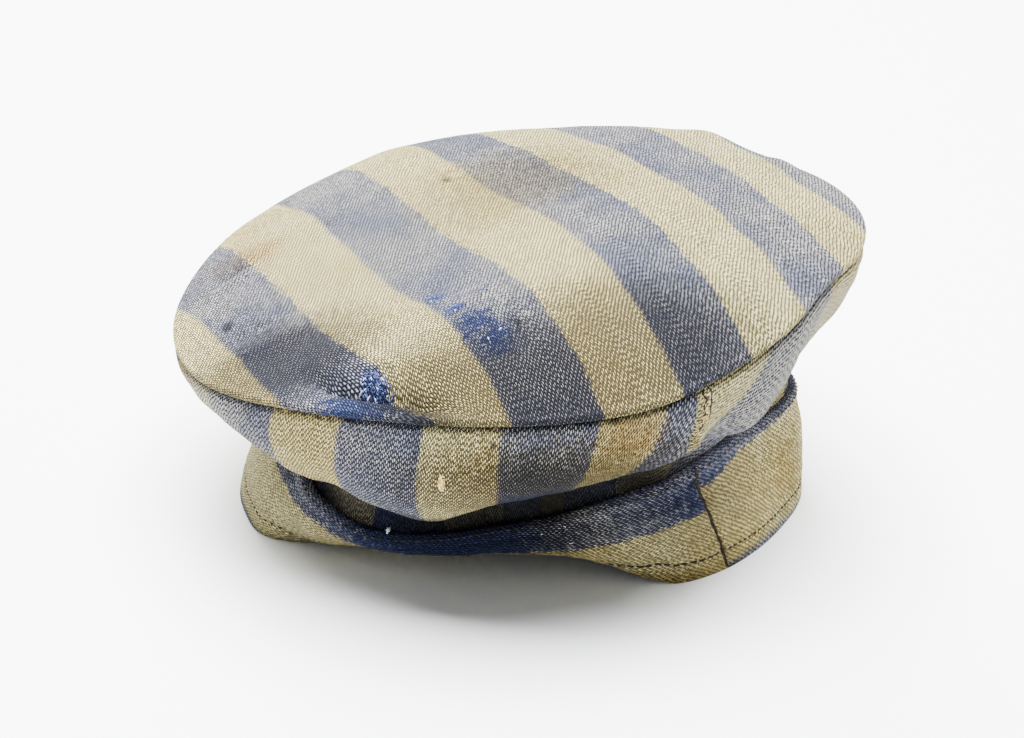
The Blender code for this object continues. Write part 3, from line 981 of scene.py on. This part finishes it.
# What each kind of stain and of painted shade takes the cloth's colour times, on cream and on
# blue, and how strongly. Soil and Rust are stains. Shade is painted shade in creases, recesses and
# seams.
# Dark is painted shade in the recess below the side panel's fold, and small real dark marks
# elsewhere.
# The last kind is grime together with painted shade on the front, which faces away from the lamps.
StainAndShade = namedtuple("StainAndShade", "kind strength cream blue")
STAINS_AND_SHADES = (
    StainAndShade("Soil", 0.7, (186, 172, 128), None),
    StainAndShade("Rust", 0.5, (214, 170, 106), None),
    StainAndShade("Dark", 0.85, (64, 66, 84), None),
    StainAndShade("Shade", 0.85, (64, 70, 98), None),
    StainAndShade("Grime", 0.75, (204, 199, 184), (128, 127, 128)),
)
# Every kind of spot: wear, paleness, stains and painted shade
WEARS_AND_SHADES = ("Worn", "Pale") + tuple(stain_and_shade.kind for stain_and_shade in STAINS_AND_SHADES)


def cloth_and_shade():
    """Colour of the worn cloth from its stripe, its threads, how much it fades and how soiled it
    is, with painted shade in the weave's gaps, creases and recesses and painted highlights on its
    floats.
    """
    inputs = "Blue Gap Thread Place Fade " + " ".join(WEARS_AND_SHADES)
    tree, wires, inlet, outlet = new_group("cloth and shade", inputs, "Colour")
    thread, place = inlet["Thread"], inlet["Place"]
    blotch = wires.noise(place, 30.0, 4.0, 0.62)
    aged = wires.noise(place, 17.0, 4.0, 0.62)
    deep = wires.between(thread, DEEP_BLUE)
    blue = wires.mix(wires.ramp(blotch, 0.62, 0.36), wires.between(thread, BLUE), deep)
    ochre = wires.between(thread, OCHRE)
    cream = wires.mix(wires.ramp(aged, 0.42, 0.70), wires.between(thread, CREAM), ochre)
    threads = wires.mix(inlet["Blue"], cream, blue)
    threads = wires.mix(wires.ramp(blotch, 0.60, 0.95), threads, tone(*FADED))
    bare = wires.sum("MULTIPLY", inlet["Worn"], wires.sum("MAXIMUM", inlet["Blue"], BARE_CREAM))
    threads = wires.mix(bare, threads, wires.between(thread, BARE_BLUE))
    pale = wires.sum("MULTIPLY", inlet["Pale"], PALE_STRENGTH)
    threads = wires.mix(pale, threads, tone(*PALE))
    # Painted shade in the gaps between the floats: deeper under the grime and painted shade spots,
    # paler where the cloth fades more and lies further back towards the lamps
    gaps = wires.between(bare, (GAP_SHADOWS["blue"], GAP_SHADOWS["bare"]))
    gaps = wires.mix(inlet["Blue"], tone(*GAP_SHADOWS["cream"]), gaps)
    depth = wires.sum("MULTIPLY_ADD", inlet["Grime"], 0.25, inlet["Gap"])
    gap_shading = wires.sum("SUBTRACT", 1.25, inlet["Fade"])
    gap_shading = wires.sum("MULTIPLY_ADD", inlet["Grime"], 0.35, gap_shading)
    gap_shading = wires.sum("MULTIPLY", wires.ramp(depth, 0.20, 0.78), gap_shading, clamp=True)
    colour = wires.mix(gap_shading, threads, gaps)
    for stain_and_shade in STAINS_AND_SHADES:
        strength = wires.sum("MULTIPLY", inlet[stain_and_shade.kind], stain_and_shade.strength)
        tint = tone(*stain_and_shade.cream)
        if stain_and_shade.blue:
            tint = wires.between(inlet["Blue"], (stain_and_shade.cream, stain_and_shade.blue))
        colour = wires.mix(strength, colour, tint, "MULTIPLY")
    wires.feed(outlet["Colour"], colour)
    return tree


GROUPS = {make.__name__: make() for make in (twill_weave, woven_stripes, spot_mask, cloth_and_shade)}

# Spots of wear and soil, and of painted shade, in metres from the axis. kind: what the cloth takes
# on there.
# turn: degrees that its reach is turned through, seen from above
# On the top, the Shade rows are painted shade in the crease below the darn, and the grime rows are
# dirt and painted shade on the front, which faces away from the lamps
TOP_SPOTS = table("""
kind east north height wide deep high ragged turn
Worn -0.047 -0.093 0.087 0.013 0.006 0.02 1.2 -57
Worn -0.0286 -0.0589 0.103 0.0045 0.004 0.02 1.8 0
Worn -0.0211 -0.0721 0.103 0.0045 0.004 0.02 1.8 0
Worn -0.014 -0.0825 0.103 0.007 0.009 0.02 3.6 0
Worn -0.007 -0.092 0.102 0.006 0.009 0.02 3.6 0
Grime -0.08 -0.062 0.08 0.052 0.036 0.04 1 0
Worn -0.056 -0.103 0.08 0.034 0.012 0.02 2.6 0
Shade -0.041 -0.1048 0.084 0.034 0.0062 0.03 0.25 -36
Shade -0.044 -0.103 0.084 0.02 0.004 0.03 0.25 -37
Dark -0.103 -0.027 0.078 0.003 0.005 0.02 1 0
Dark -0.0265 0.0335 0.109 0.0022 0.003 0.02 0.8 0
Dark 0 -0.088 0.102 0.0014 0.003 0.02 0.8 0
Rust -0.1 0.02 0.08 0.022 0.012 0.03 1.8 0
Soil 0 0.02 0.113 0.045 0.045 0.05 2 0
Grime 0 -0.118 0.095 0.09 0.052 0.05 0.8 0
Grime 0.04 -0.1 0.11 0.06 0.04 0.05 0.8 0
""")
# On the side panel, the Shade rows and the low Dark rows are painted shade in the recess below the
# fold, the grime row is dirt and painted shade on the lower front, and the highest Dark row is a
# small dark mark
SIDE_SPOTS = table("""
kind east north height wide deep high ragged turn
Rust 0.038 -0.119 0.08 0.016 0.02 0.01 1.4 0
Soil 0.02 -0.119 0.068 0.06 0.03 0.02 1.6 0
Rust -0.118 -0.03 0.062 0.01 0.014 0.01 1.5 0
Dark -0.008 -0.123 0.078 0.0014 0.004 0.002 0.6 0
Worn 0.01 -0.112 0.05 0.03 0.026 0.01 0.8 0
Grime 0.01 -0.115 0.056 0.075 0.06 0.026 0.8 0
Pale 0.105 -0.07 0.075 0.05 0.06 0.05 1.2 0
Pale -0.11 -0.05 0.065 0.03 0.04 0.03 1.2 0
Shade -0.01 -0.072 0.022 0.17 0.095 0.024 0.3 0
Shade 0.028 -0.076 0.037 0.052 0.026 0.013 0.3 0
Dark -0.02 -0.084 0.026 0.04 0.032 0.02 0.3 0
Dark 0.015 -0.084 0.034 0.04 0.032 0.018 0.3 0
Dark 0.04 -0.076 0.044 0.026 0.03 0.016 0.3 0
Dark 0.05 -0.067 0.038 0.03 0.026 0.016 0.3 0
Dark -0.072 -0.056 0.024 0.014 0.02 0.02 0.3 0
Worn -0.055 -0.068 0.028 0.04 0.036 0.016 0.6 0
""")
# On the band, the grime rows are dirt and painted shade on its front, under the crown's overhang
BAND_SPOTS = table("""
kind east north height wide deep high ragged turn
Soil 0.045 -0.075 0 0.05 0.04 0.007 1 0
Soil 0.096 -0.02 0.02 0.016 0.022 0.02 1.8 0
Worn -0.03 -0.08 0.018 0.06 0.036 0.022 1 0
Grime -0.02 -0.085 0.022 0.075 0.04 0.018 0.6 0
Grime 0.04 -0.052 0.028 0.04 0.034 0.018 0.8 0
Worn 0.048 -0.05 0.026 0.05 0.034 0.03 0.8 0
""")

CLOTH_GLOSS = 0.1
PAPER_GLOSS = 0.5
PAINTED_LIGHT_NORTH = 0.7  # painted light: how much paler the weave's gaps are for each metre to the back, towards the lamp behind
FADE_PATCHES = 0.5  # how much more the cloth fades from patch to patch
EDGE_RAGGED = 0.0030  # how far the painted shade along the sewn edge wanders along the cloth
EDGE_DARK = (-0.0008, 0.0014)  # where it starts and where it is full
ROUGH = 0.84
FUZZ_ROUGH = 0.12  # how much the cloth's fuzz adds to its roughness
FUZZ_HEIGHT = 0.3  # and to its height, in that of a float
RIB_HEIGHT = 0.18  # how much higher every other float is
FLOAT_HEIGHT = 0.0006


def new_finish(name, gloss=CLOTH_GLOSS):
    """A new material with this gloss, its wiring, its shader and the place on the object."""
    material = bpy.data.materials.new(name)
    material.use_nodes = True
    wires = Wiring(material.node_tree)
    shader = material.node_tree.nodes["Principled BSDF"]
    shader.inputs["Specular IOR Level"].default_value = gloss
    return material, wires, shader, wires.put("ShaderNodeTexCoord").outputs["Object"]


def twill(name, stripe_start, fade, spots, sewn_edge=False):
    """The finish of one cloth piece: stripes, twill ribs and threads, wear and soil, and painted
    shade.

    fade: how closed and pale the gaps of the weave are. sewn_edge: painted shade darkens its upper
    edge, below the top seam.
    """
    material, wires, shader, place = new_finish(name)
    cloth = wires.put("ShaderNodeUVMap", uv_map="cloth").outputs["UV"]
    weave = wires.group("twill_weave", Cloth=cloth, Yarn=YARN, Run=RUN, Step=TWILL_STEP)
    chance = weave["Chance"]
    stripes = wires.group(
        "woven_stripes", Cloth=cloth, Start=stripe_start, Breadth=STRIPE, Chance=chance
    )
    masks = dict.fromkeys(WEARS_AND_SHADES, 0.0)
    for spot in spots:
        mask = wires.group(
            "spot_mask",
            Place=place,
            Middle=standing(spot.east, spot.north, spot.height),
            Reach=(spot.wide, spot.deep, spot.high),
            Turn=math.radians(spot.turn),
            Raggedness=spot.ragged,
        )
        masks[spot.kind] = wires.sum("MAXIMUM", masks[spot.kind], mask["Mask"])
    # Painted shade along the side panel's upper edge, in the groove below the top seam
    if sewn_edge:
        along = wires.parts(cloth)["Y"]
        ragged = wires.sum("MULTIPLY_ADD", wires.noise(place, 300.0), EDGE_RAGGED, along)
        edge = wires.ramp(ragged, *EDGE_DARK)
        masks["Shade"] = wires.sum("MAXIMUM", masks["Shade"], edge)
    patches = wires.noise(place, 26.0, 3.0)
    fade_and_light = wires.sum("MULTIPLY_ADD", patches, FADE_PATCHES, fade - FADE_PATCHES / 2)
    # Painted light: the weave's gaps are painted paler towards the back, where the lamp behind
    # stands, and darker towards the front
    fade_and_light = wires.sum("MULTIPLY_ADD", wires.parts(place)["Y"], PAINTED_LIGHT_NORTH, fade_and_light)
    colour = wires.group(
        "cloth_and_shade",
        Blue=stripes["Blue"],
        Gap=weave["Gap"],
        Thread=weave["Thread"],
        Place=place,
        Fade=fade_and_light,
        **masks,
    )
    wires.feed(shader.inputs["Base Color"], colour["Colour"])
    fuzz = wires.noise(place, 1500.0, 2.0)
    wires.feed(shader.inputs["Roughness"], wires.sum("MULTIPLY_ADD", fuzz, FUZZ_ROUGH, ROUGH))
    height = wires.sum("MULTIPLY_ADD", fuzz, FUZZ_HEIGHT, weave["Height"])
    height = wires.sum("MULTIPLY_ADD", weave["Rib"], RIB_HEIGHT, height)
    wires.emboss(shader, height, 1.0, FLOAT_HEIGHT)
    return material


# The pieces
top = swept("top_panel", top_section, top_cloth, on_axis=True)
side = swept("side_panel", side_section, side_cloth, joins=SIDE_JOINS)
band = swept("folded_band", band_section, band_cloth, joins=(BAND_JOIN,))
top.data.materials.append(twill("top_twill", TOP_START, 0.20, TOP_SPOTS))
side.data.materials.append(twill("side_twill", 0.0, 0.2, SIDE_SPOTS, sewn_edge=True))
band.data.materials.append(twill("band_twill", 0.0, 0.58, BAND_SPOTS))
for piece, node in ((top, "crown_top"), (side, "crown_side"), (band, "head_band")):
    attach(piece, "root")
    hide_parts(node)


# Loose threads, stitches, darns and lint
THREAD_SIDES = 6
THREAD_TIP = 0.35  # size of a thread's end, in its radius
STITCH_RADIUS = 0.00034
STITCH_BENDS = (-1.2, 0.3, 0.6, 0.3, -1.2)  # a stitch's rise along it, in its radius
END_POINTS = 9  # points of a loose thread end
KNOT_STEP = 0.45  # from point to point of a knot, in the noise that it is drawn from
KNOT_APART = 7.3  # between the parts of the noise for its three ways
KNOT_SPREAD = 1.6  # how far the noise takes it, in its size
rng = random.Random(11)


def thread_finish(name, dark, light):
    """Spun thread: two tones in fine flecks, with a fibrous surface."""
    material, wires, shader, place = new_finish(name)
    fleck = wires.noise(place, 1400.0, 2.0)
    colour = wires.between(wires.ramp(fleck, 0.35, 0.65), (dark, light))
    wires.feed(shader.inputs["Base Color"], colour)
    wires.feed(shader.inputs["Roughness"], wires.sum("MULTIPLY_ADD", fleck, 0.2, 0.7))
    wires.emboss(shader, fleck, 0.5, 0.0002)
    return material


def threads(name, runs, slot, finish):
    """One piece of many threads. runs: for each, its radius and the points that it follows."""
    verts, faces = [], []
    for radius, path in runs:
        start = len(verts)
        for k, point in enumerate(path):
            along = (path[min(k + 1, len(path) - 1)] - path[max(k - 1, 0)]).normalized()
            square = along.cross(Vector((0.31, 0.17, 0.93))).normalized()
            other = along.cross(square)
            size = radius * (THREAD_TIP if k in (0, len(path) - 1) else 1)
            for way in range(0, 360, 360 // THREAD_SIDES):
                one, two = place_at(size, way)
                verts.append(point + square * one + other * two)
        for low in range(start, len(verts) - THREAD_SIDES, THREAD_SIDES):
            for k in range(THREAD_SIDES):
                a, b = low + k, low + (k + 1) % THREAD_SIDES
                faces.append((a, b, b + THREAD_SIDES, a + THREAD_SIDES))
        faces.append([start + k for k in reversed(range(THREAD_SIDES))])
        faces.append([len(verts) - THREAD_SIDES + k for k in range(THREAD_SIDES)])
    piece = stand(name, smooth_mesh(name, verts, faces))
    piece.data.materials.append(finish)
    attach(piece, "root")


def on_top(east, north, rise=0.0):
    """The place above the top panel's face here, in metres from the axis."""
    turn, out = math.degrees(math.atan2(north, east)), math.hypot(east, north)
    share = out / (seam_point(turn)[0] - CURL_RADIUS)
    return standing(east, north, top_height(share, turn) + rise)


def on_outer(section, turn, gone, rise=0.0):
    """The place over a piece's outer face at a turn, this far along its section.

    gone: from where the section starts, or below zero from the band's upper edge.
    """
    points, along = section(turn)
    if gone >= 0:
        gone += along[0]
    k = next(k for k in range(1, len(points)) if along[k] >= gone)
    share = (gone - along[k - 1]) / (along[k] - along[k - 1])
    one, two = points[k - 1], points[k]
    out = left_of(one, two)
    facing = 1 if section is side_section else -1
    reach, height = (one[i] + (two[i] - one[i]) * share + out[i] * rise * facing for i in (0, 1))
    return standing(*place_at(reach, turn), height)


def stitches(row):
    """The stitches of one row round the band."""
    runs = []
    turn = row.low
    while turn < row.high:
        step = math.degrees(row.pitch / HEM_RADIUS) * rng.uniform(0.9, 1.1)
        path = []
        for share, bend in zip(shares(len(STITCH_BENDS) - 1), STITCH_BENDS):
            far = math.degrees(row.length / HEM_RADIUS) * share
            rise = row.rise + STITCH_RADIUS * bend
            path.append(on_outer(band_section, turn + far, row.place, rise))
        runs.append((STITCH_RADIUS, path))
        turn += step
    return runs


def curled(start, along, length, swing):
    """A loose thread end that leaves a place and curls on its way."""
    turn_way = Vector((rng.uniform(-1, 1), rng.uniform(-1, 1), rng.uniform(-0.4, 1))).normalized()
    path, way, here = [], along.normalized(), start.copy()
    for k in range(END_POINTS):
        path.append(here.copy())
        way = (way + turn_way * swing * k / END_POINTS).normalized()
        here += way * length / END_POINTS
    return path


def knot(middle, size, radius, points, tall):
    """A small tangle of thread, this many times as tall as broad."""
    path = []
    for k in range(points):
        places = [Vector((k * KNOT_STEP, KNOT_APART * axis, size * 900)) for axis in range(3)]
        far = Vector([noise.noise(place) for place in places])
        far.z *= tall
        path.append(middle + far * size * KNOT_SPREAD)
    return [(radius, path)]


white = thread_finish("white_thread", (148, 156, 174), (208, 213, 222))
blue_thread = thread_finish("blue_thread", (18, 24, 52), (82, 96, 138))
dark_thread = thread_finish("dark_thread", (16, 14, 14), (52, 46, 40))
cream_thread = thread_finish("cream_thread", (176, 138, 74), (232, 204, 138))

# The darns of the top panel. way: the way that each runs, in degrees. half_long, half_wide: how
# far it reaches from its middle. white: the share of white threads
DARNS = table("""
east north way half_long half_wide count white
-0.0466 -0.094 304 0.0098 0.0036 130 0.12
-0.0286 -0.0589 300 0.0042 0.0024 26 0.05
-0.0211 -0.0721 0 0.0036 0.0022 34 0.08
-0.0118 -0.0655 0 0.0018 0.0014 7 0
-0.0085 -0.089 290 0.01 0.005 24 0.05
""")
DARN_RISE = 0.0002  # of a darning stitch's middle over the cloth
DARN_BEND = 0.0004  # and how far its ends are below that
DARN_SLANT = 16  # degrees that it lies off the weave, at most
DARN_HALF = (0.0004, 0.0008)  # half its length, at least and at most
DARN_RADIUS = (0.00016, 0.00026)
blue_runs, white_runs = [], []
for darn in DARNS:
    for count in range(int(darn.count)):
        far = math.sqrt(rng.random())
        along, across = place_at(far, rng.uniform(0, 360))
        along, across = along * darn.half_long, across * darn.half_wide
        long_way, wide_way = place_at(1, darn.way), place_at(1, darn.way + 90)
        east, north = moved((darn.east, darn.north), long_way, along)
        east, north = moved((east, north), wide_way, across)
        lie = STRIPE_TURN + rng.choice((0, 90)) + rng.uniform(-DARN_SLANT, DARN_SLANT)
        half = rng.uniform(*DARN_HALF)
        path = []
        for share in (-1, -0.5, 0, 0.5, 1):
            place = moved((east, north), place_at(share * half, lie))
            path.append(on_top(*place, DARN_RISE - DARN_BEND * share**2))
        runs = white_runs if rng.random() < darn.white else blue_runs
        runs.append((rng.uniform(*DARN_RADIUS), path))
threads("darn_blue", blue_runs, "crown_top_cloth", blue_thread)
threads("darn_white", white_runs, "crown_top_cloth", white)

# Rows of stitches round the band. place: from the hem, or below zero from the upper edge.
# low, high: the turns that the row runs between. rise: over the cloth, below zero sunk into it
StitchRow = namedtuple("StitchRow", "place low high length pitch rise")
HEM_ROWS = (
    StitchRow(HEM_STITCH, 292, 319, 0.0031, 0.0034, 0.0001),
    StitchRow(HEM_STITCH, 320, 500, 0.0022, 0.0032, 0.00005),
    StitchRow(HEM_STITCH, 140, 236, 0.0022, 0.0034, -0.0001),
)
WELT_ROW = StitchRow(-WELT, 200, 560, 0.0018, 0.0032, -0.0001)
JOIN_STEPS = 32
JOIN_CORD = 0.0007  # radius of the rolled edge at the band's join, in dark thread that also stands in for the shadow in the join
JOIN_OUT = 0.0003  # how far its middle stands over the cloth
JOIN_START = 0.001  # from the band's upper edge to its start
JOIN_SPARE = 0.0015  # how much shorter than the band it is
hem_runs = [run for row in HEM_ROWS for run in stitches(row)]
join_run = []
for share in shares(JOIN_STEPS):
    turn = line_turn(BAND_JOIN, share)
    whole = -band_section(turn)[1][0]
    place = -JOIN_START - share * (whole - JOIN_SPARE)
    join_run.append(on_outer(band_section, turn, place, JOIN_OUT))
hem_runs.append((JOIN_CORD, join_run))
threads("band_stitches", hem_runs, "head_band_cloth", dark_thread)
threads("welt_stitches", stitches(WELT_ROW), "head_band_cloth", dark_thread)

# A knot of thread on the front, and the frayed edge at the side panel's join
lint = knot(on_outer(side_section, 258, 0.0205, 0.0009), 0.0013, 0.0004, 26, 2.0)
for count in range(16):
    share = rng.random()
    turn = line_turn(SIDE_JOINS[0], share * 0.4)
    turn += math.degrees(rng.uniform(0.0028, 0.0044) / CROWN_RADIUS)
    start = on_outer(side_section, turn, 0.003 + share * 0.013)
    lean = Vector((rng.uniform(-0.6, 0.1), -0.3, rng.uniform(-0.9, 0.9)))
    radius = rng.uniform(0.0001, 0.0002)
    lint.append((radius, curled(start, lean, rng.uniform(0.001, 0.002), 0.5)))
threads("lint", lint, "crown_side_cloth", cream_thread)

# Dark threads along both sides of the pleat, standing in for the shadows of its folds. past: from
# the join. last: how far down each runs
PLEAT_STEPS = 24
PLEAT_TOP = 0.0012  # from the top seam to where both start
pleat_shadow_runs = []
for past, last in ((0.0025, 0.0160), (0.0047, 0.0135)):
    path = []
    for step, share in enumerate(shares(PLEAT_STEPS)):
        gone = PLEAT_TOP + (last - PLEAT_TOP) * share
        wave = 0.0004 * math.sin(step * 0.9 + past * 900) + past + 0.0008 * share
        turn = line_turn(SIDE_JOINS[0], gone / SIDE_DROP) + math.degrees(wave / CROWN_RADIUS)
        path.append(on_outer(side_section, turn, gone, 0.0001))
    pleat_shadow_runs.append((STITCH_RADIUS, path))
threads("pleat_shadow_lines", pleat_shadow_runs, "crown_side_cloth", dark_thread)

# A white knot at the band's upper edge, and thread ends on the blue stripe
ends = knot(on_outer(band_section, 238, -0.0002, 0.0010), 0.0012, 0.0003, 20, 0.7)
for count in range(4):
    start = on_outer(band_section, rng.uniform(270, 290), rng.uniform(-0.012, -0.005))
    lean = Vector((rng.uniform(-1, 1), -0.4, rng.uniform(-0.5, 0.6)))
    ends.append((0.00012, curled(start, lean, rng.uniform(0.0008, 0.0018), 0.8)))
threads("band_lint", ends, "head_band_cloth", white)


# Floor, lights and camera
FLOOR_HALF = 3.0
FLOOR_BACK = 2.2  # to the foot of the backdrop
BACKDROP_BEND = 1.6  # radius of its foot
BEND_STEPS = 12
CAMERA_AWAY = 0.95
CAMERA_RISE = 25  # degrees above level
CAMERA_LENS = 90.7
SENSOR_WIDTH = 36


def plain_floor():
    """A pale sheet that the cap lies on, rising into a backdrop far behind it."""
    rows = [(-FLOOR_HALF, 0), (FLOOR_BACK, 0)]
    for share in shares(BEND_STEPS)[1:]:
        way = math.pi / 2 * share
        north = FLOOR_BACK + BACKDROP_BEND * math.sin(way)
        rows.append((north, BACKDROP_BEND * (1 - math.cos(way))))
    rows.append((FLOOR_BACK + BACKDROP_BEND, FLOOR_HALF))
    verts = [(east, *row) for row in rows for east in (-2 * FLOOR_HALF, 2 * FLOOR_HALF)]
    faces = [(2 * k, 2 * k + 1, 2 * k + 3, 2 * k + 2) for k in range(len(rows) - 1)]
    floor = stand("floor", smooth_mesh("floor", verts, faces))
    material, wires, shader, place = new_finish("pale_paper", PAPER_GLOSS)
    cloud = wires.noise(place, 0.6, 1.0)
    colour = wires.between(cloud, ((238, 240, 241), (246, 247, 247)))
    wires.feed(shader.inputs["Base Color"], colour)
    shader.inputs["Roughness"].default_value = 0.9
    floor.data.materials.append(material)


def face(thing, place, target):
    """Set a light or the camera at a place, facing the target."""
    thing.location = place
    thing.rotation_mode = "QUATERNION"
    thing.rotation_quaternion = (Vector(target) - Vector(place)).to_track_quat("-Z", "Y")


def soft_light(name, place, target, size, power):
    """A square soft light at a place, facing the target."""
    data = bpy.data.lights.new(name, "AREA")
    data.size = size
    data.energy = power
    face(stand(name, data), place, target)


plain_floor()
soft_light("behind", (-0.4, 1.6, 1.15), (0, 0, 0.05), 1.0, 120)
soft_light("overhead", (0.03, 0.1, 1.7), (0, 0, 0), 1.5, 320)

world = bpy.data.worlds.new("studio")
bpy.context.scene.world = world
world.use_nodes = True
world.node_tree.nodes["Background"].inputs["Color"].default_value = (0.96, 0.98, 1.0, 1)
world.node_tree.nodes["Background"].inputs["Strength"].default_value = 0.5

camera = stand("camera", bpy.data.cameras.new("camera"))
camera.data.lens = CAMERA_LENS
camera.data.sensor_width = SENSOR_WIDTH
target = standing(-0.002, -0.004, 0.05)
camera_out, camera_up = place_at(CAMERA_AWAY, CAMERA_RISE)
face(camera, target + Vector((0, -camera_out, camera_up)), target)
bpy.context.scene.camera = camera
